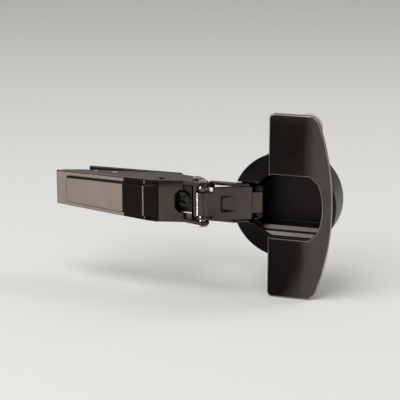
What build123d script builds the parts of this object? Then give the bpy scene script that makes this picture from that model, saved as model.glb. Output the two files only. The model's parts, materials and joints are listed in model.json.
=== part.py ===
from build123d import *
import math
import os

# Concealed door hinge, millimetres. The origin lies on the cabinet side's face, midway between the two
# plate screws. X points along the cabinet side towards the door, Y points into the cabinet side, Z is up.
# The hinge is drawn with the door a quarter turn open.

# Pivots and how the hinge turns
cup_x = 59.2
cup_y = -5.0
near_arm_x = 31.2
near_arm_y = -11.2
far_arm_x = 28.0
far_arm_y = -7.7
near_cup_dx = -10.2
near_cup_dy = 2.4
far_cup_dx = -12.2
far_cup_dy = 3.87
eye_shift_x = 0.04
eye_shift_y = 0.55
pin_r = 1.25
cup_pin_r = 1.1
stub_pin_r = 1.0
running_gap = 0.05
open_pivot_gap = 1.1

# Mounting plate and its screws
plate_back = -14.6
plate_front = 21.9
plate_half_width = 7.2
flange_thickness = 1.2
core_half_width = 5.2
core_thickness = 2.4
rib_half_width = 3.7
rib_top = 4.6
rib_front = 18.8
screw_spacing = 20.0
screw_r = 3.15
screw_head_r = 4.25
screw_head_depth = 1.1
screw_length = 11.5
screw_neck_r = 2.6
screw_neck_end = 0.25
screw_hole_gap = 0.1

# Carrier, depth cam and overlay screw
slide_gap = 0.15
carrier_wall = 1.05
carrier_thickness = 1.25
carrier_back = -8.0
carrier_front = 25.75
carrier_skirt_end = 19.5
carrier_skirt_gap = 0.3
tail_end = -17.0
tail_thickness = 0.4
tail_gap = 0.1
tail_half_width = 3.6
tilt_x = -2.9
tilt_y = -6.1
tilt_bar_length = 3.8
tilt_bar_wall = 0.25
cam_x = 3.3
cam_r = 3.0
cam_head_r = 3.4
cam_head_height = 1.05
cam_offset = 1.9
cam_pin_r = 1.0
cam_slot_gap = 0.3
overlay_x = 22.6
overlay_head_r = 2.8
overlay_head_top = -8.8
overlay_head_height = 1.2
overlay_shank_r = 1.7
overlay_tip = -3.4
nose_thickness = 1.4

# Arm and its cover
sheet = 1.2
arm_back = -23.9
arm_heel = 7.5
arm_back_y = -5.32
ridge_x = 15.7
ridge_y = -13.3
face_x = 24.0
face_y = -11.3
arm_back_half = 6.2
arm_front_half = 7.5
arm_taper_end = 14.0
arm_foot_y = -2.9
near_cheek_r = 2.2
far_cheek_r = 2.8
notch_back = 21.2
notch_knee = 22.6
notch_half = 3.95
notch_inner_half = 2.2
tool_hole_x = 16.0
tool_hole_y = -10.3
tool_hole_r = 1.0
head_height = 0.7
head_r = 1.7
cap_back = -25.4
cap_front = 15.6
cap_rim = 1.1
pad_back = -20.8
pad_front = 10.2
pad_height = 1.5
pad_inset = 1.8
cap_nose = 0.4

# Release lever
release_x = -10.5
release_y = -4.9
release_pin_r = 0.9
release_eye_wall = 0.45
release_wire_r = 0.3
release_coil_gap = 0.1
release_spring_gap = 0.1
release_half = 3.9
release_sheet = 0.5
release_tab_x = -22.6
release_tab_y = -2.5
release_bend = 5.7
release_drop = 0.33
hook_depth = -1.2
hook_reach = 0.62
hook_sheet = 0.55
hook_gap = 0.45

# Levers
near_barrel_r = 2.6
near_plate_r = 2.3
spring_room = 2.0
near_tip_r = 2.1
near_tip_half = 3.75
near_sheet = 1.5
near_shoulder = 3.2
near_neck = 2.9
tab_start = 5.8
tab_end = 11.2
tab_half = 2.9
tab_slit = 0.6
tab_depth = 1.1
tab_gash = 1.0
tab_skin = 0.25
far_barrel_r = 1.95
far_flange = 0.92
far_inner_flange = 1.12
far_lap = 0.04
side_gap = 0.18
far_strip = 1.15
far_eye_wall = 0.6
far_mouth_angle = 39.4
far_mouth_start = 0.6
spring_wire_r = 0.4
spring_turns = 2
spring_sides = 6
spring_clear = 0.3

# Cup, its cover and its fixings
cup_r = 17.5
cup_wall = 1.0
cup_depth = 12.6
cup_floor = 1.0
ledge_top = 0.4
ledge_inset = 1.1
ledge_drop = 1.1
ledge_second = 4.0
ledge_second_inset = 1.3
ledge_second_drop = 0.85
rim_r = 18.75
rim_lip = 0.25
rim_thickness = 1.2
wing_half = 31.7
wing_back = -4.7
wing_front_end = 10.0
wing_front = 15.9
cover_margin = 0.8
cover_thickness = 2.2
cover_corner_r = 1.7
cover_front_r = 4.2
cover_crown_start = 4.5
cover_crown_drop = 1.3
throat_gap = 0.3
throat_end = -11.1
throat_drop = 0.8
window_back = -4.5
window_half = 11.3
window_knee = 8.8
window_shoulder = 11.6
window_shoulder_half = 8.6
window_front = 13.2
lug_gap = 0.15
lug_half = 2.1
boss_gap = 0.2
boss_half = 3.0
eye_pocket_r = 3.3
dowel_r = 5.0
dowel_length = 11.0
dowel_offset = 5.5
dowel_spacing = 52.0
cup_screw_r = 1.6
cup_screw_head_r = 3.2
cup_screw_head_depth = 0.9
cup_screw_length = 5.0
cup_screw_gap = 0.05
dowel_neck = 0.4


def block(x0, x1, y0, y1, z0, z1):
    size = Box(abs(x1 - x0), abs(y1 - y0), abs(z1 - z0))
    return Pos((x0 + x1) / 2, (y0 + y1) / 2, (z0 + z1) / 2) * size


def prism(points, low, high):
    # An outline in the hinge's top view, raised from low to high along Z.
    face = make_face(Polyline(*points, close=True))
    return Pos(0, 0, low) * extrude(face, amount=high - low, dir=(0, 0, 1))


def slab(face, near, far):
    # An outline in X and Z, filled between two Y levels.
    return Pos(0, far, 0) * Rot(90, 0, 0) * extrude(face, amount=far - near, dir=(0, 0, 1))


def outline(points):
    return make_face(Polyline(*points, close=True))


def disc(x, y, radius, low, high):
    return Pos(x, y, (low + high) / 2) * Cylinder(radius, high - low)


def rod(x, z, radius, y0, y1):
    return Pos(x, (y0 + y1) / 2, z) * Rot(90, 0, 0) * Cylinder(radius, abs(y1 - y0))


def taper(x, z, near_r, far_r, near, far):
    # A cone along Y, near_r at the smaller Y.
    return Pos(x, (near + far) / 2, z) * Rot(90, 0, 0) * Cone(far_r, near_r, far - near)


def strip(points, half, low, high):
    # A flat bar with round joints that follows a line in the top view.
    shape = disc(points[0][0], points[0][1], half, low, high)
    for (x0, y0), (x1, y1) in zip(points, points[1:]):
        length = math.hypot(x1 - x0, y1 - y0)
        angle = math.degrees(math.atan2(y1 - y0, x1 - x0))
        bar = Box(length, 2 * half, high - low)
        shape += Pos((x0 + x1) / 2, (y0 + y1) / 2, (low + high) / 2) * Rot(0, 0, angle) * bar
        shape += disc(x1, y1, half, low, high)
    return shape


def both(low, high):
    # The same span above and below the middle plane.
    return ((low, high), (-high, -low))


def coil(x, y, radius, wire, middle, turns):
    # Turns of wire on a pin along Z that lie against each other.
    rise = wire * math.sqrt(3)
    bottom = middle - rise * turns / 2
    shape = None
    for turn in range(turns):
        level = bottom + rise * (turn + 0.5)
        ring = revolve(Plane.XZ * Pos(radius, level) * RegularPolygon(wire, spring_sides), Axis.Z)
        shape = ring if shape is None else shape + ring
    return Pos(x, y, 0) * shape


nodes = {}

# Mounting plate with its slide rib
plate_outline = [
    (plate_back, -plate_half_width),
    (plate_front - 1.9, -plate_half_width),
    (plate_front, -core_half_width),
    (plate_front, core_half_width),
    (plate_front - 1.9, plate_half_width),
    (plate_back, plate_half_width),
]
half_spacing = screw_spacing / 2
plate = slab(outline(plate_outline), -flange_thickness, 0)
plate += block(plate_back, plate_front - 1.4, -core_thickness, 0, -core_half_width, core_half_width)
rib_end = half_spacing - screw_head_r - 0.35
front_rib = half_spacing + screw_head_r + 0.45
plate += block(-rib_end, rib_end, -rib_top, -core_thickness / 2, -rib_half_width, rib_half_width)
plate += block(front_rib, rib_front, -rib_top, -core_thickness / 2, -rib_half_width, rib_half_width)
head_seat = -core_thickness + screw_head_depth
for x in (-half_spacing, half_spacing):
    plate -= rod(x, 0, screw_r + screw_hole_gap, -core_thickness - 1, 1)
    plate -= taper(x, 0, screw_head_r, screw_r, -core_thickness, head_seat)
cam_slot_half = cam_pin_r + cam_slot_gap
plate -= block(
    cam_x - cam_slot_half, cam_x + cam_slot_half, -rib_top - 1, -core_thickness - 0.3, 0.2, rib_half_width + 1
)
nodes["mounting_plate"] = plate

screw = taper(0, 0, screw_head_r, screw_r, -core_thickness, head_seat)
screw += rod(0, 0, screw_neck_r, head_seat, screw_neck_end)
screw += rod(0, 0, screw_r, screw_neck_end, screw_length - 2)
screw += taper(0, 0, screw_r, 1.2, screw_length - 2, screw_length)
for turn in (0, 90):
    screw -= Rot(0, turn, 0) * block(-2.2, 2.2, -core_thickness - 1, -core_thickness + 1.1, -0.45, 0.45)
nodes["plate_screw_rear"] = Pos(-half_spacing, 0, 0) * screw
nodes["plate_screw_front"] = Pos(half_spacing, 0, 0) * screw

# Carrier that slides on the rib
carrier_in = rib_half_width + slide_gap
carrier_half = carrier_in + carrier_wall
carrier_under = -rib_top - slide_gap
carrier_top = carrier_under - carrier_thickness
carrier_low = -core_thickness - carrier_skirt_gap
carrier = block(carrier_back, carrier_front, carrier_top, carrier_under, -carrier_half, carrier_half)
for low, high in both(carrier_in, carrier_half):
    carrier += block(carrier_back, carrier_skirt_end, carrier_under, carrier_low, low, high)
nose_top = carrier_top - nose_thickness
carrier += block(overlay_x - overlay_head_r, carrier_front, nose_top, carrier_under, -carrier_half, carrier_half)
bar_half = tilt_bar_length / 2
bar_top = tilt_y - pin_r - tilt_bar_wall
carrier += block(tilt_x - bar_half, tilt_x + bar_half, bar_top, carrier_under, -carrier_half, carrier_half)
tail_low = -core_thickness - tail_gap
carrier += block(tail_end, carrier_back + 0.8, tail_low - tail_thickness, tail_low, -tail_half_width, tail_half_width)
carrier += block(carrier_back, carrier_back + 1.0, carrier_under, tail_low, -carrier_half, carrier_half)
carrier -= disc(tilt_x, tilt_y, pin_r, -carrier_half - 1, carrier_half + 1)
carrier -= rod(cam_x, 0, cam_r + running_gap, carrier_top - 3, carrier_under + 1)
carrier -= rod(overlay_x, 0, overlay_shank_r + running_gap, nose_top - 1, carrier_under + 1)
nodes["carrier"] = carrier

arm_slope = (ridge_y - arm_back_y) / (ridge_x - arm_back)


def arm_half(x):
    part = min(1.0, (x - arm_back) / (arm_taper_end - arm_back))
    return arm_back_half + part * (arm_front_half - arm_back_half)


nodes["tilt_pin"] = disc(tilt_x, tilt_y, pin_r, -arm_half(tilt_x) - 0.25, arm_half(tilt_x) + 0.25)

# Depth cam: a slotted head, a round body in the carrier and an off-centre pin in the plate's slot
cam = rod(cam_x, 0, cam_r, carrier_top - 0.05, carrier_under + 0.1)
cam += rod(cam_x, 0, cam_head_r, carrier_top - 0.05 - cam_head_height, carrier_top - 0.05)
cam += rod(cam_x, cam_offset, cam_pin_r, carrier_under, -core_thickness - 0.75)
for turn in (45, 135):
    cross = Rot(0, turn, 0) * block(-2.3, 2.3, 0, 0.8, -0.5, 0.5)
    cam -= Pos(cam_x, carrier_top - 0.05 - cam_head_height, 0) * cross
nodes["depth_cam"] = cam

# Overlay screw, seen in the notch of the arm's front face
overlay = rod(overlay_x, 0, overlay_head_r, overlay_head_top, overlay_head_top + overlay_head_height)
overlay += rod(overlay_x, 0, overlay_shank_r, overlay_head_top + 0.6, overlay_tip)
for turn in (45, 135):
    cross = Rot(0, turn, 0) * block(-2.1, 2.1, 0, 0.8, -0.45, 0.45)
    overlay -= Pos(overlay_x, overlay_head_top, 0) * cross
nodes["overlay_screw"] = overlay


# Arm: a bent sheet with a roof, a sloping front face and two cheeks that hold the lever pins
def plan(inset):
    # The arm's outline seen from the cabinet's inside, shrunk by inset.
    rear = arm_back_half - inset
    front = arm_front_half - inset
    half = [(cap_back - 20, rear), (arm_back, rear), (arm_taper_end, front), (face_x + 40, front)]
    return outline(half + [(x, -z) for x, z in reversed(half)])


cheek_span = math.hypot(near_arm_x - far_arm_x, near_arm_y - far_arm_y)
cheek_nx = (near_arm_y - far_arm_y) / cheek_span
cheek_ny = -(near_arm_x - far_arm_x) / cheek_span
side = [
    (arm_back, arm_back_y),
    (ridge_x, ridge_y),
    (face_x, face_y),
    (near_arm_x - 1.2, near_arm_y - near_cheek_r * 0.9),
    (near_arm_x, near_arm_y),
    (near_arm_x - near_cheek_r * cheek_nx, near_arm_y - near_cheek_r * cheek_ny),
    (far_arm_x - far_cheek_r * cheek_nx, far_arm_y - far_cheek_r * cheek_ny),
    (far_arm_x, far_arm_y + far_cheek_r),
    (face_x - 3, arm_foot_y),
    (arm_back + arm_heel, arm_foot_y - 0.3),
    (arm_back, arm_back_y + 0.9),
]
arm = prism(side, -arm_front_half, arm_front_half)
arm += disc(near_arm_x, near_arm_y, near_cheek_r, -arm_front_half, arm_front_half)
arm += disc(far_arm_x, far_arm_y, far_cheek_r, -arm_front_half, arm_front_half)
arm &= slab(plan(0), -40, 20)
hollow = [
    (arm_back - 10, arm_back_y - 10 * arm_slope + sheet),
    (ridge_x - 0.3, ridge_y + sheet + 0.06),
    (face_x, face_y + sheet),
    (face_x, -30),
    (face_x + 30, -30),
    (face_x + 30, 10),
    (arm_back - 10, 10),
]
arm -= prism(hollow, -20, 20) & slab(plan(sheet), -40, 20)
notch = [
    (face_x + 1, notch_half),
    (notch_knee, notch_half),
    (notch_back, notch_inner_half),
    (notch_back, -notch_inner_half),
    (notch_knee, -notch_half),
    (face_x + 1, -notch_half),
]
arm -= slab(outline(notch), ridge_y - 5, overlay_head_top)
for x, y, radius in (
    (near_arm_x, near_arm_y, pin_r),
    (far_arm_x, far_arm_y, pin_r),
    (tilt_x, tilt_y, pin_r + running_gap),
    (release_x, release_y, release_pin_r),
    (tool_hole_x, tool_hole_y, tool_hole_r),
):
    arm -= disc(x, y, radius, -20, 20)
nodes["hinge_arm"] = arm

# Cover that snaps on the arm's roof: a thin rim with a raised pad and a ramp at its front


def roof(x):
    return arm_back_y + arm_slope * (x - arm_back)


rim_profile = [
    (cap_back, roof(cap_back)),
    (cap_front, roof(cap_front)),
    (cap_front, roof(cap_front) - cap_nose),
    (pad_front, roof(pad_front) - cap_rim),
    (cap_back, roof(cap_back) - cap_rim),
]
pad_profile = [
    (pad_back, roof(pad_back) - cap_rim / 2),
    (pad_front + 0.5, roof(pad_front) - cap_rim / 2),
    (cap_front - 0.1, roof(cap_front) - cap_nose / 2),
    (cap_front - 0.1, roof(cap_front) - cap_nose),
    (pad_front, roof(pad_front) - cap_rim - pad_height),
    (pad_back, roof(pad_back) - cap_rim - pad_height),
]
cap = prism(rim_profile, -arm_front_half, arm_front_half) & slab(plan(0), -40, 20)
cap += prism(pad_profile, -arm_front_half, arm_front_half) & slab(plan(pad_inset), -40, 20)
nodes["arm_cover_cap"] = cap

# Riveted lever pins in the arm
for name, x, y in (("near_arm_pin", near_arm_x, near_arm_y), ("far_arm_pin", far_arm_x, far_arm_y)):
    pin = disc(x, y, pin_r, -arm_front_half, arm_front_half)
    for low, high in both(arm_front_half, arm_front_half + head_height):
        pin += disc(x, y, head_r, low, high)
    nodes[name] = pin
nodes["release_pin"] = disc(
    release_x, release_y, release_pin_r, -arm_half(release_x) - 0.2, arm_half(release_x) + 0.2
)

# Closing springs wound on the near pin beside the lever's barrel
spring_r = pin_r + spring_clear + spring_wire_r
cheek_in = arm_front_half - sheet
near_barrel_half = cheek_in - spring_room
spring_middle = (near_barrel_half + cheek_in) / 2
for name, z in (("closing_spring_upper", spring_middle), ("closing_spring_lower", -spring_middle)):
    nodes[name] = coil(near_arm_x, near_arm_y, spring_r, spring_wire_r, z, spring_turns)

# Release lever under the arm's rear end
tab_bend = (release_x - release_bend, release_y + release_drop)
release = strip(
    [(release_x, release_y), tab_bend, (release_tab_x, release_tab_y)], release_sheet, -release_half, release_half
)
release += disc(release_x, release_y, release_pin_r + release_eye_wall, -release_half, release_half)
hook_back = tail_end - 1.4
hook = [
    (hook_back, tab_bend[1]),
    (tail_end - hook_gap, tab_bend[1]),
    (tail_end - hook_gap, hook_depth - hook_sheet),
    (tail_end - hook_gap + hook_reach, hook_depth - hook_sheet),
    (tail_end - hook_gap + hook_reach, hook_depth),
    (hook_back, hook_depth),
]
release += prism(hook, -release_half + 0.6, release_half - 0.6)
release -= disc(release_x, release_y, release_pin_r + running_gap, -20, 20)
nodes["release_lever"] = release
release_coil_r = release_pin_r + release_coil_gap + release_wire_r
coil_middle = release_half + release_spring_gap + release_wire_r * spring_turns
nodes["release_spring"] = coil(release_x, release_y, release_coil_r, release_wire_r, coil_middle, spring_turns)

# Levels across the hinge, from the arm's cheeks inwards and outwards
far_half_mid = cheek_in - side_gap
far_half_in = far_half_mid - far_inner_flange
far_half_step = far_half_mid - far_lap
far_half_out = far_half_step + far_flange
near_half = far_half_step - side_gap
lug_in = near_tip_half + lug_gap
lug_out = far_half_step - side_gap
boss_in = far_half_out + boss_gap
throat_half = far_half_out + throat_gap

# Near lever, drawn along X from its arm pivot and then turned into place
near_cup_x = cup_x + near_cup_dx
near_cup_y = cup_y + near_cup_dy
near_length = math.hypot(near_cup_x - near_arm_x, near_cup_y - near_arm_y)
near_angle = math.degrees(math.atan2(near_cup_y - near_arm_y, near_cup_x - near_arm_x))
plate_near = -near_plate_r
plate_far = plate_near + near_sheet
lever = disc(0, 0, near_barrel_r, -near_barrel_half, near_barrel_half)
lever += disc(near_length, 0, near_tip_r, -near_tip_half, near_tip_half)
lever += block(0, near_shoulder + 1, plate_near, plate_far, -near_barrel_half, near_barrel_half)
lever += block(near_shoulder, near_length - near_neck, plate_near, plate_far, -near_half, near_half)
lever += block(near_length - near_neck - 1, near_length, -near_tip_r, plate_far, -near_tip_half, near_tip_half)
pressed = [
    (tab_start, plate_near - 1),
    (tab_end, plate_near - 1),
    (tab_end, plate_near),
    (tab_start, plate_near + tab_depth),
]
lever -= prism(pressed, -tab_half, tab_half)
lever -= block(tab_start, tab_start + tab_slit, plate_near - 1, plate_far - tab_skin, -tab_half, tab_half)
for side_sign in (1, -1):
    gash = [
        (tab_start, side_sign * tab_half),
        (tab_end - 0.8, side_sign * tab_half),
        (tab_start, side_sign * (tab_half - tab_gash)),
    ]
    lever -= slab(outline(gash), plate_near - 1, plate_far - tab_skin)
lever -= disc(0, 0, pin_r + running_gap, -20, 20)
lever -= disc(near_length, 0, cup_pin_r + running_gap, -20, 20)
nodes["near_lever"] = Pos(near_arm_x, near_arm_y, 0) * Rot(0, 0, near_angle) * lever

# Far lever: a barrel on the arm's second pin and two bowed flanges that reach outside the near lever
far_cup_x = cup_x + far_cup_dx
far_cup_y = cup_y + far_cup_dy
eye_x = far_cup_x + eye_shift_x
eye_y = far_cup_y + eye_shift_y
eye_r = stub_pin_r + open_pivot_gap
far_line = [
    (far_arm_x + 5.5, far_arm_y + 0.4),
    (far_arm_x + 13.2, far_arm_y + 0.3),
    (far_arm_x + 17.6, far_arm_y + 1.8),
    (eye_x - 0.5, eye_y - eye_r),
    (eye_x, eye_y),
]
far = disc(far_arm_x, far_arm_y, far_barrel_r, -far_half_mid, far_half_mid)
for low, high in both(far_half_in, far_half_mid):
    far += strip([(far_arm_x, far_arm_y), (far_arm_x + 5.2, far_arm_y + 0.4)], far_strip, low, high)
for low, high in both(far_half_step, far_half_out):
    far += strip(far_line, far_strip, low, high)
    far += disc(eye_x, eye_y, eye_r + far_eye_wall, low, high)
    far -= disc(eye_x, eye_y, eye_r, low - 0.5, high + 0.5)
    mouth = block(far_mouth_start, 3 * eye_r, -2 * eye_r, 2 * eye_r, low - 0.5, high + 0.5)
    far -= Pos(eye_x, eye_y, 0) * Rot(0, 0, far_mouth_angle) * mouth
far -= disc(far_arm_x, far_arm_y, pin_r + running_gap, -20, 20)
nodes["far_lever"] = far

# Cup, drawn about its own centre on the door's face
inner_r = cup_r - cup_wall
floor_y = cup_depth - cup_floor


def wing(margin):
    # The wings' outline: straight on the lever side, bowed on the other.
    x0 = wing_back - margin
    x1 = wing_front_end + margin
    z = wing_half + margin
    straight = Polyline((x1, -z), (x0, -z), (x0, z), (x1, z))
    bow = ThreePointArc((x1, z), (wing_front + margin, 0), (x1, -z))
    corners = make_face([straight, bow]).vertices().sort_by(Axis.X)
    plain = fillet(corners[:2], cover_corner_r)
    return fillet(plain.vertices().sort_by(Axis.X)[-2:], cover_front_r)


def opening(extra):
    # Throat for the levers and window for the arm's front end.
    z = window_half + extra
    w = window_shoulder_half + extra
    throat = throat_half + extra
    upper = [(window_shoulder + extra, w), (window_knee, z), (window_back, z), (throat_end, throat)]
    upper.append((-rim_r - 2, throat))
    sides = Polyline(*upper, *[(x, -w) for x, w in reversed(upper)])
    bow = ThreePointArc((window_shoulder + extra, -w), (window_front + extra, 0), (window_shoulder + extra, w))
    return make_face([sides, bow])


bowl = rod(0, 0, cup_r, 0, cup_depth)
bowl += rod(0, 0, rim_r, -rim_thickness, 0) & block(-rim_r, 0, -rim_thickness, 0, -rim_r, rim_r)
bowl += rod(0, 0, cup_r + rim_lip, -rim_thickness / 2, 0)
bowl += slab(wing(0), -rim_thickness, 0)
# The hollow narrows across the door in two slanted ledges.
middle_half = window_half - ledge_inset
deep_half = middle_half - ledge_second_inset
steps = [
    (0, window_half),
    (ledge_top, window_half),
    (ledge_top + ledge_drop, middle_half),
    (ledge_second, middle_half),
    (ledge_second + ledge_second_drop, deep_half),
    (floor_y, deep_half),
]
hollow_face = Plane.YZ * outline(steps + [(y, -z) for y, z in reversed(steps)])
ledged = Pos(-inner_r, 0, 0) * extrude(hollow_face, amount=2 * inner_r, dir=(1, 0, 0))
bowl -= rod(0, 0, inner_r, 0, floor_y) & ledged
bowl -= slab(opening(0), -rim_thickness - 1, 0.01)
bowl -= block(-rim_r - 2, throat_end, -rim_thickness - 1, throat_drop, -throat_half, throat_half)
for low, high in both(lug_in, lug_out):
    bowl += disc(near_cup_dx, near_cup_dy, lug_half, low, high)
    bowl += block(near_cup_dx - lug_half, near_cup_dx + lug_half, near_cup_dy, floor_y + 0.2, low, high)
filled = rod(0, 0, cup_r - cup_wall / 2, near_cup_dy - 1.2, floor_y + 0.2)
for low, high in both(boss_in, cup_r):
    boss = block(far_cup_dx - 5, far_cup_dx + boss_half, near_cup_dy - 1.2, floor_y + 0.2, low, high)
    bowl += boss & filled
for low, high in both(lug_out + 0.1, boss_in - 0.05):
    bowl -= disc(far_cup_dx, far_cup_dy, eye_pocket_r, low, high)
bowl -= disc(near_cup_dx, near_cup_dy, cup_pin_r, -lug_out - 0.5, lug_out + 0.5)
stub_end = boss_in + 3.0
for low, high in both(boss_in - 0.5, stub_end):
    bowl -= disc(far_cup_dx, far_cup_dy, stub_pin_r, low, high)
half_dowel = dowel_spacing / 2
for z in (-half_dowel, half_dowel):
    bowl -= rod(dowel_offset, z, cup_screw_r + cup_screw_gap, -rim_thickness - 1, 1)
    bowl -= taper(
        dowel_offset,
        z,
        cup_screw_head_r + cup_screw_gap,
        cup_screw_r + cup_screw_gap,
        -rim_thickness,
        -rim_thickness + cup_screw_head_depth,
    )
place = Pos(cup_x, cup_y, 0)
nodes["hinge_cup"] = place * bowl

# Its face is flat beside the levers and falls off in a long curve on the other side.
cover_back = wing_back - cover_margin
cover_end = wing_front + cover_margin
cover_top = -rim_thickness - cover_thickness
crown_run = cover_end - cover_crown_start
crown_r = (crown_run**2 + cover_crown_drop**2) / (2 * cover_crown_drop)
crown_mid = crown_r - math.sqrt(crown_r**2 - (crown_run / 2) ** 2)
crown = ThreePointArc(
    (cover_crown_start, cover_top),
    (cover_crown_start + crown_run / 2, cover_top + crown_mid),
    (cover_end, cover_top + cover_crown_drop),
)
flat = Polyline(
    (cover_end, cover_top + cover_crown_drop),
    (cover_end, -rim_thickness),
    (cover_back, -rim_thickness),
    (cover_back, cover_top),
    (cover_crown_start, cover_top),
)
cover_half = wing_half + cover_margin
section = extrude(make_face([crown, flat]), amount=2 * cover_half, dir=(0, 0, 1))
cover = Pos(0, 0, -cover_half) * section & slab(wing(cover_margin), cover_top, -rim_thickness)
cover -= slab(opening(0), -rim_thickness - cover_thickness - 1, -rim_thickness + 1)
nodes["cup_cover_cap"] = place * cover

nodes["near_cup_pin"] = place * disc(near_cup_dx, near_cup_dy, cup_pin_r, -lug_out, lug_out)
stub_start = lug_out + 0.15
for name, (low, high) in zip(("far_cup_pin_upper", "far_cup_pin_lower"), both(stub_start, stub_end)):
    nodes[name] = place * disc(far_cup_dx, far_cup_dy, stub_pin_r, low, high)

# Press-in dowels under the wings and the screws that spread them
for name, z in (("upper", half_dowel), ("lower", -half_dowel)):
    dowel = rod(dowel_offset, z, dowel_r - dowel_neck, 0, dowel_neck)
    dowel += rod(dowel_offset, z, dowel_r, dowel_neck, dowel_length - 1)
    dowel += taper(dowel_offset, z, dowel_r, dowel_r - 1, dowel_length - 1, dowel_length)
    dowel -= rod(dowel_offset, z, cup_screw_r, -1, cup_screw_length - rim_thickness)
    nodes["dowel_" + name] = place * dowel
    fixing = rod(dowel_offset, z, cup_screw_r, -rim_thickness + 0.2, cup_screw_length - rim_thickness)
    fixing += taper(
        dowel_offset, z, cup_screw_head_r, cup_screw_r, -rim_thickness, -rim_thickness + cup_screw_head_depth
    )
    for turn in (0, 90):
        cross = Rot(0, turn, 0) * block(-1.7, 1.7, 0, 0.7, -0.35, 0.35)
        fixing -= Pos(dowel_offset, -rim_thickness, z) * cross
    nodes["cup_screw_" + name] = place * fixing

os.makedirs("parts", exist_ok=True)
for name, shape in nodes.items():
    export_step(shape, "parts/" + name + ".step")
    print(name, round(shape.volume, 1), len(shape.solids()))
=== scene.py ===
# %% [markdown]
# # A concealed cabinet hinge in black nickel
# The solids come from the part's own CAD model. This lesson dresses them: it rounds their edges, gives each
# metal its finish, cuts the fine threads and lights the hinge the way a small product set would.

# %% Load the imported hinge
import json
import math

import bmesh
import bpy
from mathutils import Matrix, Vector


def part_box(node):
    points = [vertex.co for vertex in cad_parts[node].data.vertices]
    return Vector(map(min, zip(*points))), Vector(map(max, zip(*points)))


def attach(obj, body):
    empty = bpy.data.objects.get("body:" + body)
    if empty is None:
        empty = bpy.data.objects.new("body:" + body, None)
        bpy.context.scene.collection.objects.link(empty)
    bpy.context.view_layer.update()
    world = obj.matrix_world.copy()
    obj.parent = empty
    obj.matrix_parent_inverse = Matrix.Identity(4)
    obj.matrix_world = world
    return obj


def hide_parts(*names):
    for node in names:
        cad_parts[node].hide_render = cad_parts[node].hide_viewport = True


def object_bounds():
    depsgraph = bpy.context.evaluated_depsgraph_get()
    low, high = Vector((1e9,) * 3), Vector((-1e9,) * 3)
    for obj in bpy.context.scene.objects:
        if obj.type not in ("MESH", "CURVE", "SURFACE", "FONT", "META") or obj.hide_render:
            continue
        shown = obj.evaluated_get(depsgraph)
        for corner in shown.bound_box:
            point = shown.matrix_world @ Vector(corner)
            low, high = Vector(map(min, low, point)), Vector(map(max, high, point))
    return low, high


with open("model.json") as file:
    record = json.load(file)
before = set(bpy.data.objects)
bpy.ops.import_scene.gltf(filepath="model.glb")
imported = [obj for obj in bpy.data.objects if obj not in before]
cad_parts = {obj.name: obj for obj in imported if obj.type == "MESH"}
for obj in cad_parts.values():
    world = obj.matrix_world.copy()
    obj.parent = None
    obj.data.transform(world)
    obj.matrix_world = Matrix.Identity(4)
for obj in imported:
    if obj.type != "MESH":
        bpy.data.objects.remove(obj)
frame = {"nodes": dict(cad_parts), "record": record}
nodes = frame["nodes"]
cad_low, cad_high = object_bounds()
scene = bpy.context.scene
scene.view_settings.view_transform = "Standard"
MM = 0.001
print("nodes", len(nodes), "box in mm", [round((b - a) / MM, 1) for a, b in zip(cad_low, cad_high)])

# %% [markdown]
# ## Camera
# The hinge is seen from inside the cabinet, a little from the right and from above, through a long lens.
# A long lens keeps the arm's edges nearly parallel. The camera is aimed by one known point: the centre of
# the cup on the door's face, and the offset of that point from the middle of the picture.

# %% Place the camera
VIEW_TURN = math.radians(17.1)
VIEW_LIFT = math.radians(16.0)
VIEW_DISTANCE = 500 * MM
PIXELS_PER_MM = 2.904
PICTURE_SIZE = 400
CUP_CENTRE = Vector((59.2, -5.0, 0)) * MM
CUP_PIXEL = (286, 205)
SENSOR_WIDTH = 36
to_camera = Vector((
    math.sin(VIEW_TURN) * math.cos(VIEW_LIFT),
    -math.cos(VIEW_TURN) * math.cos(VIEW_LIFT),
    math.sin(VIEW_LIFT),
))
view_right = Vector((math.cos(VIEW_TURN), math.sin(VIEW_TURN), 0))
view_up = to_camera.cross(view_right)
pixel = MM / PIXELS_PER_MM
aim = CUP_CENTRE
aim = aim + view_right * ((PICTURE_SIZE / 2 - CUP_PIXEL[0]) * pixel)
aim = aim + view_up * ((CUP_PIXEL[1] - PICTURE_SIZE / 2) * pixel)
camera_data = bpy.data.cameras.new("camera")
camera_data.sensor_width = SENSOR_WIDTH
camera_data.lens = PIXELS_PER_MM * SENSOR_WIDTH * (VIEW_DISTANCE / MM) / PICTURE_SIZE
camera_data.clip_start = 0.01
camera_data.clip_end = 20
camera = bpy.data.objects.new("camera", camera_data)
scene.collection.objects.link(camera)
camera.location = aim + to_camera * VIEW_DISTANCE
camera.rotation_mode = "QUATERNION"
camera.rotation_quaternion = (-to_camera).to_track_quat("-Z", "Y")
scene.camera = camera
print("lens in mm", round(camera_data.lens, 1))

# %% [markdown]
# ## Floor and light
# Dark plated metal has almost no colour of its own: it shows what stands around it. A pale floor and a pale
# world give it something to mirror, one large soft lamp stands at the front left, one hangs above, and a
# weaker one at the back right draws a thin light line along the edges.

# %% Make the floor, the world and the lamps
FLOOR_GAP, FLOOR_REACH = 0.2 * MM, 4
floor_z = cad_low.z - FLOOR_GAP


def sheet_of_corners(name, corners):
    mesh = bmesh.new()
    mesh.faces.new([mesh.verts.new(c) for c in corners])
    bmesh.ops.recalc_face_normals(mesh, faces=mesh.faces)
    data = bpy.data.meshes.new(name)
    mesh.to_mesh(data)
    mesh.free()
    made = bpy.data.objects.new(name, data)
    scene.collection.objects.link(made)
    return made


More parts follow.
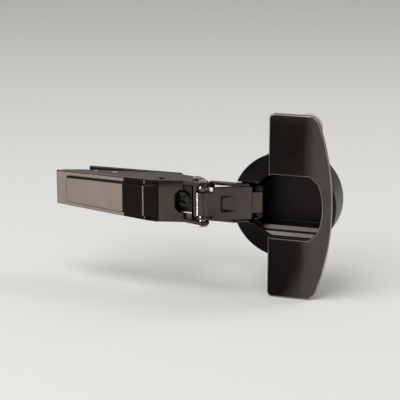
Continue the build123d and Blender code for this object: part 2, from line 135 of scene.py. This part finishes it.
floor = sheet_of_corners("floor", [
    (x * FLOOR_REACH, y * FLOOR_REACH, floor_z) for x, y in ((-1, -1), (1, -1), (1, 1), (-1, 1))
])
paper = bpy.data.materials.new("pale_paper")
paper.use_nodes = True
paper_shader = paper.node_tree.nodes["Principled BSDF"]
paper_shader.inputs["Base Color"].default_value = (0.74, 0.73, 0.71, 1)
paper_shader.inputs["Roughness"].default_value = 0.9
paper_shader.inputs["Specular IOR Level"].default_value = 0.0
floor.data.materials.append(paper)

world = bpy.data.worlds.new("studio")
world.use_nodes = True
background = world.node_tree.nodes["Background"]
background.inputs["Color"].default_value = (0.8, 0.79, 0.78, 1)
background.inputs["Strength"].default_value = 0.5
scene.world = world


def soft_lamp(name, place, size, watts, target):
    lamp_data = bpy.data.lights.new(name, "AREA")
    lamp_data.shape = "RECTANGLE"
    lamp_data.size, lamp_data.size_y = size
    lamp_data.energy = watts
    lamp = bpy.data.objects.new(name, lamp_data)
    scene.collection.objects.link(lamp)
    lamp.location = place
    lamp.rotation_mode = "QUATERNION"
    lamp.rotation_quaternion = (Vector(target) - Vector(place)).to_track_quat("-Z", "Y")
    return lamp


soft_lamp("front_lamp", (-0.3, -0.62, 0.58), (0.9, 0.3), 3.2, (0.02, 0, 0))
soft_lamp("top_lamp", (-0.08, -0.2, 0.7), (0.5, 0.3), 2.1, (0.03, 0, 0))
soft_lamp("edge_lamp", (0.5, 0.3, 0.5), (0.25, 0.4), 1.2, (0.03, 0, 0))
print("floor at", round(floor_z / MM, 2), "mm")

# %% [markdown]
# ## Cards
# A photographer shapes the reflections in polished metal with dark cards, which make the flat faces look
# deep. Only mirror rays see these cards, so they throw no shadow and never stand in a picture. Where a card's
# edge must lie follows from the mirror law: the ray from the camera to a point on the metal is turned about
# the face's normal and followed for some way. The wings' card has a gap, because the lever's small pressed
# tab looks that way and has to stay light, and it thins out to the right. One tiny lamp with a narrow beam is
# linked to the lever and its pin alone, and draws the white line along the round barrel.


# %% Lay the cards where the metal mirrors them
def mirrored(point, normal):
    # The way a ray goes on after it came from the camera and met the face at this point.
    seen = (Vector(point) - camera.location).normalized()
    return seen.reflect(Vector(normal).normalized())


def axis_range(tree, output, axis, start, end):
    # A value that goes from 0 to 1 between two places along an axis of the piece.
    place = tree.nodes.new("ShaderNodeTexCoord")
    axes = tree.nodes.new("ShaderNodeSeparateXYZ")
    tree.links.new(place.outputs[output], axes.inputs["Vector"])
    span = tree.nodes.new("ShaderNodeMapRange")
    span.inputs["From Min"].default_value = start
    span.inputs["From Max"].default_value = end
    tree.links.new(axes.outputs[axis], span.inputs["Value"])
    return span.outputs["Result"]


def mirror_card(name, corners, strength, fade=None):
    # A fade is the pair of places along X between which the card thins out.
    made = sheet_of_corners(name, corners)
    made.visible_camera = False
    made.visible_diffuse = False
    made.visible_shadow = False
    made.visible_transmission = False
    made.visible_volume_scatter = False
    finish = bpy.data.materials.new(name)
    finish.use_nodes = True
    shader = finish.node_tree.nodes["Principled BSDF"]
    shader.inputs["Base Color"].default_value = (0, 0, 0, 1)
    shader.inputs["Roughness"].default_value = 1.0
    shader.inputs["Specular IOR Level"].default_value = 0.0
    shader.inputs["Emission Color"].default_value = (1.0, 0.98, 0.96, 1)
    shader.inputs["Emission Strength"].default_value = strength
    if fade:
        tree = finish.node_tree
        thick_end, thin_end = fade
        tree.links.new(axis_range(tree, "Object", "X", thin_end, thick_end), shader.inputs["Alpha"])
    made.data.materials.append(finish)


def opposite(point, normal, reach):
    # The place that a point of a face mirrors, this far away.
    start = Vector(point) * MM
    return start + mirrored(start, normal) * (reach * MM)


WING_NORMAL, CROWN_NORMAL = (0, -1, 0), (0.1, -1, 0)
WING_Y, WING_LEFT, WING_TOP, WING_REACH, WING_GLOW = -8.4, 42.5, 34.0, 40, 0.09
UPPER_CROWN, LOWER_CROWN = 69.0, 66.0
TAB_GAP = (-15.5 * MM, -5.5 * MM)
FADE = 7 * MM
CARD_LIFT = 0.4 * MM
card_foot = floor_z + CARD_LIFT
wing_left = opposite((WING_LEFT, WING_Y, WING_TOP), WING_NORMAL, WING_REACH)
for name, crown, low, high in (
    ("upper_wing_card", UPPER_CROWN, TAB_GAP[1], wing_left.z),
    ("lower_wing_card", LOWER_CROWN, card_foot, TAB_GAP[0]),
):
    wing_right = opposite((crown, WING_Y, WING_TOP), CROWN_NORMAL, WING_REACH)
    wing_fade = (wing_right.x - FADE, wing_right.x)
    mirror_card(name, [
        (wing_left.x, wing_left.y, low), (wing_right.x, wing_right.y, low),
        (wing_right.x, wing_right.y, high), (wing_left.x, wing_left.y, high),
    ], WING_GLOW, wing_fade)
mirror_card("wing_foot_card", [
    (WING_LEFT * MM, WING_Y * MM, card_foot), (LOWER_CROWN * MM, WING_Y * MM, card_foot),
    (wing_right.x, wing_right.y, card_foot), (wing_left.x, wing_left.y, card_foot),
], WING_GLOW, wing_fade)

RIM_Y, RIM_LEFT, RIM_RIGHT, RIM_REACH, RIM_GLOW = -5.0, 22.0, 46.0, 20, 0.03
for name, low, high in (("upper_rim_card", 8, 24), ("lower_rim_card", -26, -8)):
    rim_corners = ((RIM_LEFT, low), (RIM_RIGHT, low), (RIM_RIGHT, high), (RIM_LEFT, high))
    mirror_card(name, [opposite((x, RIM_Y, z), WING_NORMAL, RIM_REACH) for x, z in rim_corners], RIM_GLOW)

BARREL_WATTS, BARREL_SPREAD, BARREL_LAMP_SIZE = 0.00012, math.radians(8), (4 * MM, 22 * MM)
BARREL_LAMP_AT, BARREL_AT = Vector((-27, -16, -16)) * MM, Vector((30, -13.5, 0)) * MM
barrel_lamp = soft_lamp("barrel_lamp", BARREL_LAMP_AT, BARREL_LAMP_SIZE, BARREL_WATTS, BARREL_AT)
barrel_lamp.data.spread = BARREL_SPREAD
barrel_lamp.visible_camera = False
lit_by_barrel_lamp = bpy.data.collections.new("lit_by_barrel_lamp")
for name in ("near_lever", "near_arm_pin"):
    lit_by_barrel_lamp.objects.link(nodes[name])
barrel_lamp.light_linking.receiver_collection = lit_by_barrel_lamp
barrel_lamp.light_linking.blocker_collection = lit_by_barrel_lamp
print("wing cards from", [round(v / MM) for v in wing_left], "to", [round(v / MM) for v in wing_right], "mm")

# %% [markdown]
# ## Black nickel
# All the bright pieces are steel with a thin black nickel plating: a dark, slightly warm metal. Its gloss
# differs from piece to piece, so one function makes the finish and each piece gives its own colour and
# gloss. Rolled sheet keeps faint lines along the rolling direction, handling leaves soft smudges, and the
# plating has a very fine grain. The smudges also change the tone a little, and the grain makes a faint bump.
# An occlusion test of about a millimetre paints shade into the colour of narrow recesses, so they look darker
# than open faces.


# %% Make the plated finishes
def combined(tree, operation, first, second):
    math_node = tree.nodes.new("ShaderNodeMath")
    math_node.operation = operation
    tree.links.new(first, math_node.inputs[0])
    tree.links.new(second, math_node.inputs[1])
    return math_node.outputs["Value"]


ROLLED, LENGTHWISE, CAST = (120, 4000, 4000), (4000, 4000, 120), (2600, 2600, 2600)
RECESS_DEPTH, GRAIN_DEPTH = 1.3 * MM, 0.02 * MM


def plated(name, colour, gloss, lines=ROLLED, smudge=0.05, bump=0.03, tint=0.12, colour_left_in_painted_shade=0.25):
    # The last argument is the share of the colour that stays in the narrowest recess, where shade is painted in.
    material = bpy.data.materials.new(name)
    material.use_nodes = True
    tree = material.node_tree
    shader = tree.nodes["Principled BSDF"]
    shader.inputs["Metallic"].default_value = 1.0
    place = tree.nodes.new("ShaderNodeTexCoord")
    rolled = tree.nodes.new("ShaderNodeMapping")
    rolled.inputs["Scale"].default_value = lines
    tree.links.new(place.outputs["Object"], rolled.inputs["Vector"])
    grain = tree.nodes.new("ShaderNodeTexNoise")
    grain.inputs["Scale"].default_value = 1.0
    grain.inputs["Detail"].default_value = 3.0
    tree.links.new(rolled.outputs["Vector"], grain.inputs["Vector"])
    cloud = tree.nodes.new("ShaderNodeTexNoise")
    cloud.inputs["Scale"].default_value = 140.0
    cloud.inputs["Detail"].default_value = 3.0
    cloud.inputs["Roughness"].default_value = 0.6
    tree.links.new(place.outputs["Object"], cloud.inputs["Vector"])
    tone = tree.nodes.new("ShaderNodeValToRGB")
    tone.color_ramp.elements[0].position = 0.3
    tone.color_ramp.elements[0].color = (*[c * (1 - tint) for c in colour], 1)
    tone.color_ramp.elements[1].position = 0.7
    tone.color_ramp.elements[1].color = (*[c * (1 + tint) for c in colour], 1)
    tree.links.new(cloud.outputs["Fac"], tone.inputs["Fac"])
    # Painted shade: an occlusion test darkens the base colour in recesses about a millimetre deep.
    recess = tree.nodes.new("ShaderNodeAmbientOcclusion")
    recess.samples = 8
    recess.only_local = True
    recess.inputs["Distance"].default_value = RECESS_DEPTH
    depth = tree.nodes.new("ShaderNodeMapRange")
    depth.inputs["From Min"].default_value = 0.35
    depth.inputs["From Max"].default_value = 0.85
    depth.inputs["To Min"].default_value = colour_left_in_painted_shade
    depth.inputs["To Max"].default_value = 1.0
    tree.links.new(recess.outputs["AO"], depth.inputs["Value"])
    shaded = tree.nodes.new("ShaderNodeVectorMath")
    shaded.operation = "SCALE"
    tree.links.new(tone.outputs["Color"], shaded.inputs[0])
    tree.links.new(depth.outputs["Result"], shaded.inputs["Scale"])
    tree.links.new(shaded.outputs["Vector"], shader.inputs["Base Color"])
    both = combined(tree, "ADD", grain.outputs["Fac"], cloud.outputs["Fac"])
    rough = tree.nodes.new("ShaderNodeMapRange")
    rough.inputs["From Min"].default_value = 0.6
    rough.inputs["From Max"].default_value = 1.4
    rough.inputs["To Min"].default_value = max(0.02, gloss - smudge)
    rough.inputs["To Max"].default_value = gloss + smudge
    tree.links.new(both, rough.inputs["Value"])
    tree.links.new(rough.outputs["Result"], shader.inputs["Roughness"])
    relief = tree.nodes.new("ShaderNodeBump")
    relief.inputs["Strength"].default_value = bump
    relief.inputs["Distance"].default_value = GRAIN_DEPTH
    tree.links.new(grain.outputs["Fac"], relief.inputs["Height"])
    tree.links.new(relief.outputs["Normal"], shader.inputs["Normal"])
    return material


FINISHES = {
    "steel": plated("black_nickel_satin", (0.082, 0.07, 0.062), 0.25, smudge=0.035, bump=0.01),
    "arm_cap": plated("black_nickel_bright", (0.34, 0.283, 0.255), 0.05, smudge=0.015, bump=0.003, tint=0.05),
    "cup_cap": plated("black_nickel_deep", (0.088, 0.076, 0.07), 0.21, lines=LENGTHWISE, smudge=0.03, bump=0.006),
    "cup": plated("black_nickel_dull", (0.036, 0.032, 0.03), 0.38),
    "plate": plated("dark_casting", (0.08, 0.075, 0.07), 0.45, lines=CAST, bump=0.15),
    "pin": plated("bright_pin", (0.5, 0.47, 0.44), 0.18, lines=LENGTHWISE),
    "screw": plated("blackened_screw", (0.06, 0.055, 0.05), 0.35, lines=CAST),
    "spring": plated("drawn_wire", (0.22, 0.2, 0.19), 0.3),
}
lever_finish = plated("black_nickel_lever", (0.088, 0.073, 0.066), 0.22, smudge=0.035, bump=0.012, colour_left_in_painted_shade=0.15)
# Painted highlight and painted shadow for the caps' roundings: a light colour for the cup's cover, a dark one for
# the arm's cap.
painted_highlight_cover_edge = plated("black_nickel_cover_edge", (0.36, 0.335, 0.315), 0.3, lines=CAST)
painted_shade_cap_edge = plated("black_nickel_cap_edge", (0.03, 0.027, 0.025), 0.22, lines=CAST)
print("finishes", len(FINISHES) + 3)

# %% [markdown]
# ## Painted reflection and painted light on one piece
# The arm's cap is polished at the rear. On its front third, with the pad's end and the ramp before it, a dark
# reflection is painted into the colour, and the gloss there is duller. Both lie on one piece, so the material
# itself tells them apart by the place along the arm: a range on the X coordinate switches the colour and the
# gloss there.
# A painted highlight on the pad's front edge is a line between two more ranges, where the bright colour comes
# back.
# In the cup, light is painted onto the two slanted ledges, which makes them lighter than the floor. They are the
# faces in the lower half that look up, which the material finds from the height and the normal.


# %% Paint a dark reflection on the cap and light on the cup's ledges
def switch_finish(tree, where, socket, value, kind):
    # Puts a second value on a socket that already has a link, where the factor is 1.
    before = socket.links[0].from_socket
    mix = tree.nodes.new("ShaderNodeMix")
    mix.data_type = kind
    first, second, result = {"RGBA": (6, 7, 2), "FLOAT": (2, 3, 0)}[kind]
    tree.links.new(where, mix.inputs[0])
    tree.links.new(before, mix.inputs[first])
    mix.inputs[second].default_value = value
    tree.links.new(mix.outputs[result], socket)


# Painted reflection: past the first range the cap's front takes a dark colour and a duller gloss; between the
# next two ranges the bright colour comes back as a painted highlight on the pad's front edge.
DARK_FROM = (2.1 * MM, 2.3 * MM)
HIGHLIGHT_FROM, HIGHLIGHT_TO = (10.2 * MM, 10.25 * MM), (10.55 * MM, 10.6 * MM)
FRONT_PAINTED_REFLECTION, FRONT_GLOSS = (0.016, 0.014, 0.013, 1), 0.3
cap_tree = FINISHES["arm_cap"].node_tree
cap_shader = cap_tree.nodes["Principled BSDF"]
dark, line, past_highlight = [axis_range(cap_tree, "Object", "X", *ends) for ends in (DARK_FROM, HIGHLIGHT_FROM, HIGHLIGHT_TO)]
front_dull_and_painted_dark = combined(cap_tree, "ADD", combined(cap_tree, "SUBTRACT", dark, line), past_highlight)
switch_finish(cap_tree, front_dull_and_painted_dark, cap_shader.inputs["Base Color"], FRONT_PAINTED_REFLECTION, "RGBA")
switch_finish(cap_tree, front_dull_and_painted_dark, cap_shader.inputs["Roughness"], FRONT_GLOSS, "FLOAT")

# Painted light: faces in the cup's lower half that look up get a lighter colour than the cup's floor.
LEDGE_TILT, LEDGE_HEIGHT = (0.25, 0.4), (-1 * MM, -3 * MM)
LEDGE_PAINTED_LIGHT = (0.085, 0.076, 0.071, 1)
cup_tree = FINISHES["cup"].node_tree
cup_shader = cup_tree.nodes["Principled BSDF"]
looks_up = axis_range(cup_tree, "Normal", "Z", *LEDGE_TILT)
in_lower_half = axis_range(cup_tree, "Object", "Z", *LEDGE_HEIGHT)
painted_light_on_ledge = combined(cup_tree, "MULTIPLY", looks_up, in_lower_half)
switch_finish(cup_tree, painted_light_on_ledge, cup_shader.inputs["Base Color"], LEDGE_PAINTED_LIGHT, "RGBA")
print("two tones on", FINISHES["arm_cap"].name, "and", FINISHES["cup"].name)

# %% [markdown]
# ## Nylon
# The two dowels under the wings are moulded nylon: pale, slightly cloudy and half matt.

# %% Make the nylon and give every node its finish
nylon = bpy.data.materials.new("nylon")
nylon.use_nodes = True
nylon_tree = nylon.node_tree
nylon_shader = nylon_tree.nodes["Principled BSDF"]
nylon_shader.inputs["Subsurface Weight"].default_value = 0.1
nylon_shader.inputs["Subsurface Scale"].default_value = 0.001
nylon_place = nylon_tree.nodes.new("ShaderNodeTexCoord")
nylon_cloud = nylon_tree.nodes.new("ShaderNodeTexNoise")
nylon_cloud.inputs["Scale"].default_value = 500.0
nylon_cloud.inputs["Detail"].default_value = 4.0
nylon_tree.links.new(nylon_place.outputs["Object"], nylon_cloud.inputs["Vector"])
nylon_tone = nylon_tree.nodes.new("ShaderNodeValToRGB")
nylon_tone.color_ramp.elements[0].color = (0.46, 0.44, 0.4, 1)
nylon_tone.color_ramp.elements[1].color = (0.6, 0.58, 0.53, 1)
nylon_tree.links.new(nylon_cloud.outputs["Fac"], nylon_tone.inputs["Fac"])
nylon_tree.links.new(nylon_tone.outputs["Color"], nylon_shader.inputs["Base Color"])
nylon_rough = nylon_tree.nodes.new("ShaderNodeMapRange")
nylon_rough.inputs["To Min"].default_value = 0.45
nylon_rough.inputs["To Max"].default_value = 0.65
nylon_tree.links.new(nylon_cloud.outputs["Fac"], nylon_rough.inputs["Value"])
nylon_tree.links.new(nylon_rough.outputs["Result"], nylon_shader.inputs["Roughness"])
FINISHES["dowel"] = nylon

slot_of = {entry["node"]: entry["material_slot"] for entry in frame["record"]["subparts"]}
for name, node in nodes.items():
    node.data.materials.clear()
    node.data.materials.append(FINISHES[slot_of[name]])
for name in ("near_lever", "far_lever"):
    nodes[name].data.materials.clear()
    nodes[name].data.materials.append(lever_finish)
print("dressed", len(nodes), "nodes")

# %% [markdown]
# ## Edges
# Stamped and plated steel never ends in a knife edge. A small rounding catches the light and draws the thin
# bright lines that tell the eye where one face ends. The solids stay as they are: a weld joins their loose
# triangles, a planar decimation makes each flat face whole again, a bevel rounds the sharp edges and weighted
# normals keep the large faces flat, all as live modifiers.
# The caps' roundings get a colour of their own: a painted highlight on the cup's cover and a painted shadow line
# on the arm's cap.

# %% Round the edges
ROUNDING = {
    "hinge_arm": 0.22, "arm_cover_cap": 0.25, "cup_cover_cap": 0.34, "hinge_cup": 0.14, "near_lever": 0.16,
    "far_lever": 0.12, "mounting_plate": 0.2, "carrier": 0.15, "overlay_screw": 0.12, "depth_cam": 0.12,
    "near_arm_pin": 0.25, "far_arm_pin": 0.25, "release_lever": 0.12, "plate_screw_rear": 0.1,
    "plate_screw_front": 0.1, "cup_screw_upper": 0.1, "cup_screw_lower": 0.1, "tilt_pin": 0.2,
    "release_pin": 0.2, "near_cup_pin": 0.2, "far_cup_pin_upper": 0.15, "far_cup_pin_lower": 0.15,
    "dowel_upper": 0.2, "dowel_lower": 0.2,
}
FLAT_STEP, CROWN_STEP, EDGE_STEP = math.radians(0.5), math.radians(1.6), math.radians(32)
WELD_GAP = 0.002 * MM
for name, width in ROUNDING.items():
    weld = nodes[name].modifiers.new("weld", "WELD")
    weld.merge_threshold = WELD_GAP
    if name != "hinge_cup":
        whole = nodes[name].modifiers.new("whole_faces", "DECIMATE")
        whole.decimate_type = "DISSOLVE"
        whole.angle_limit = CROWN_STEP if name == "cup_cover_cap" else FLAT_STEP
    bevel = nodes[name].modifiers.new("rounding", "BEVEL")
    bevel.use_clamp_overlap = False
    bevel.width = width * MM
    bevel.segments = 2
    bevel.limit_method = "ANGLE"
    bevel.angle_limit = EDGE_STEP
    evened = nodes[name].modifiers.new("even_faces", "WEIGHTED_NORMAL")
    evened.keep_sharp = True
    evened.weight = 80
# Painted highlight on the cup cover's roundings and a painted shadow line on the arm cap's roundings.
for name, painted_edge_tone in (("cup_cover_cap", painted_highlight_cover_edge), ("arm_cover_cap", painted_shade_cap_edge)):
    nodes[name].data.materials.append(painted_edge_tone)
    nodes[name].modifiers["rounding"].material = 1
print("rounded", len(ROUNDING))

# %% [markdown]
# ## Springs
# The CAD holds each spring as a stack of plain turns. The real ones are drawn round wire. A circle is spun
# about the pin and moved along it at every step, which winds a true helix; its two open ends are then filled.


# %% Wind the springs
JOIN_GAP, STEPS_PER_TURN = 0.0005 * MM, 20


def new_piece(name, mesh, body, slot, *stands_for):
    bmesh.ops.remove_doubles(mesh, verts=mesh.verts, dist=JOIN_GAP)
    bmesh.ops.recalc_face_normals(mesh, faces=mesh.faces)
    data = bpy.data.meshes.new(name)
    mesh.to_mesh(data)
    mesh.free()
    made = bpy.data.objects.new(name, data)
    scene.collection.objects.link(made)
    data.materials.append(FINISHES[slot])
    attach(made, body)
    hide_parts(*stands_for)
    return made


def wound(mesh, section, axis_point, axis, rise, turns):
    # Winds an edge loop about an axis and closes the two ends.
    bmesh.ops.spin(
        mesh, geom=section, cent=axis_point, axis=axis, dvec=Vector(axis) * (rise / STEPS_PER_TURN),
        angle=turns * math.tau, steps=STEPS_PER_TURN * turns, use_merge=False, use_duplicate=False,
    )
    bmesh.ops.holes_fill(mesh, edges=[e for e in mesh.edges if e.is_boundary], sides=0)


def wire_spring(node, body, wire):
    low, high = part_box(node)
    middle = (low + high) / 2
    radius = (high.x - low.x) / 2 - wire * 1.2
    turns = 2
    rise = (high.z - low.z - 2 * wire) / turns * 0.98
    mesh = bmesh.new()
    place = Matrix.Translation((middle.x + radius, middle.y, middle.z - rise * turns / 2))
    ring = bmesh.ops.create_circle(
        mesh, segments=10, radius=wire, matrix=place @ Matrix.Rotation(math.pi / 2, 4, "X"),
    )
    wound(mesh, ring["verts"] + mesh.edges[:], (middle.x, middle.y, 0), (0, 0, 1), rise, turns)
    made = new_piece(node + "_wire", mesh, body, "spring", node)
    for face in made.data.polygons:
        face.use_smooth = True


CLOSING_WIRE, RELEASE_WIRE = 0.22 * MM, 0.16 * MM
wire_spring("closing_spring_upper", "arm", CLOSING_WIRE)
wire_spring("closing_spring_lower", "arm", CLOSING_WIRE)
wire_spring("release_spring", "arm", RELEASE_WIRE)
print("springs wound")

# %% [markdown]
# ## Plate screws
# The two screws that hold the mounting plate have a coarse thread for a 5 mm hole in board. The head with its
# cross recess is kept from the CAD; the plain shank is cut off and turned again at the thread's root, with a
# pointed end, and a small triangle is wound round it for the thread.

# %% Cut the threads
ROOT_R, CREST_R, TIP_R = 2.5 * MM, 3.14 * MM, 1.0 * MM
THREAD_RISE, THREAD_TURNS, THREAD_SINK = 2.0 * MM, 4, 0.1 * MM
HEAD_CUT, SHANK_TOP, POINT_LENGTH = 0.15 * MM, 0.1 * MM, 2 * MM
ROUND_STEPS = 40


def turned(mesh, profile, x, z):
    # Turns an outline of (radius, depth) pairs about a line along Y.
    chain = [mesh.verts.new((x + r, y, z)) for r, y in profile]
    edges = [mesh.edges.new(pair) for pair in zip(chain, chain[1:])]
    bmesh.ops.spin(
        mesh, geom=chain + edges, cent=(x, 0, z), axis=(0, 1, 0), dvec=(0, 0, 0), angle=math.tau,
        steps=ROUND_STEPS, use_merge=True, use_duplicate=False,
    )


def threaded_screw(node):
    low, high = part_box(node)
    x = (low.x + high.x) / 2
    mesh = bmesh.new()
    mesh.from_mesh(nodes[node].data)
    bmesh.ops.remove_doubles(mesh, verts=mesh.verts, dist=WELD_GAP)
    bmesh.ops.bisect_plane(
        mesh, geom=mesh.verts[:] + mesh.edges[:] + mesh.faces[:], plane_co=(0, HEAD_CUT, 0), plane_no=(0, 1, 0),
        clear_outer=True,
    )
    bmesh.ops.holes_fill(mesh, edges=[e for e in mesh.edges if e.is_boundary], sides=0)
    tip = high.y
    turned(mesh, [
        (0, SHANK_TOP), (ROOT_R, SHANK_TOP), (ROOT_R, tip - POINT_LENGTH), (TIP_R, tip - 0.1 * MM),
        (0, tip - 0.02 * MM),
    ], x, 0)
    tooth = [
        mesh.verts.new((x + r, y, 0))
        for r, y in ((ROOT_R - THREAD_SINK, 0.3 * MM), (CREST_R, 0.85 * MM), (ROOT_R - THREAD_SINK, 1.3 * MM))
    ]
    loop = [mesh.edges.new(pair) for pair in zip(tooth, tooth[1:] + tooth[:1])]
    wound(mesh, tooth + loop, (x, 0, 0), (0, 1, 0), THREAD_RISE, THREAD_TURNS)
    new_piece(node + "_threaded", mesh, "base", "screw", node)


for node in ("plate_screw_rear", "plate_screw_front"):
    threaded_screw(node)
print("threads cut")

# %% [markdown]
# ## Dowels
# The nylon dowels under the wings grip the hole in the door with rings of small barbs. Their outline is drawn
# once, from the neck to the chamfered end, and turned about the dowel's axis.

# %% Turn the barbed dowels
BARBS, BARB_TOP, BARB_R, GROOVE_R = 6, 0.6 * MM, 4.98 * MM, 4.5 * MM
BORE_R, NECK_R, END_R, END_LENGTH = 1.6 * MM, 4.55 * MM, 4.0 * MM, 1.4 * MM


def barbed_dowel(node):
    low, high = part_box(node)
    x, z = (low.x + high.x) / 2, (low.z + high.z) / 2
    pitch = (high.y - low.y - BARB_TOP - END_LENGTH) / BARBS
    neck_y = low.y + 0.01 * MM
    profile = [(BORE_R, neck_y), (NECK_R, neck_y), (NECK_R, low.y + BARB_TOP)]
    for barb in range(BARBS):
        top = low.y + BARB_TOP + barb * pitch
        profile += [(BARB_R, top + 0.1 * pitch), (BARB_R, top + 0.25 * pitch), (GROOVE_R, top + pitch)]
    profile += [(END_R, high.y - 0.05 * MM), (0, high.y - 0.02 * MM)]
    mesh = bmesh.new()
    turned(mesh, profile, x, z)
    bmesh.ops.holes_fill(mesh, edges=[e for e in mesh.edges if e.is_boundary], sides=0)
    new_piece(node + "_barbed", mesh, "cup", "dowel", node)


for node in ("dowel_upper", "dowel_lower"):
    barbed_dowel(node)
print("dowels turned")
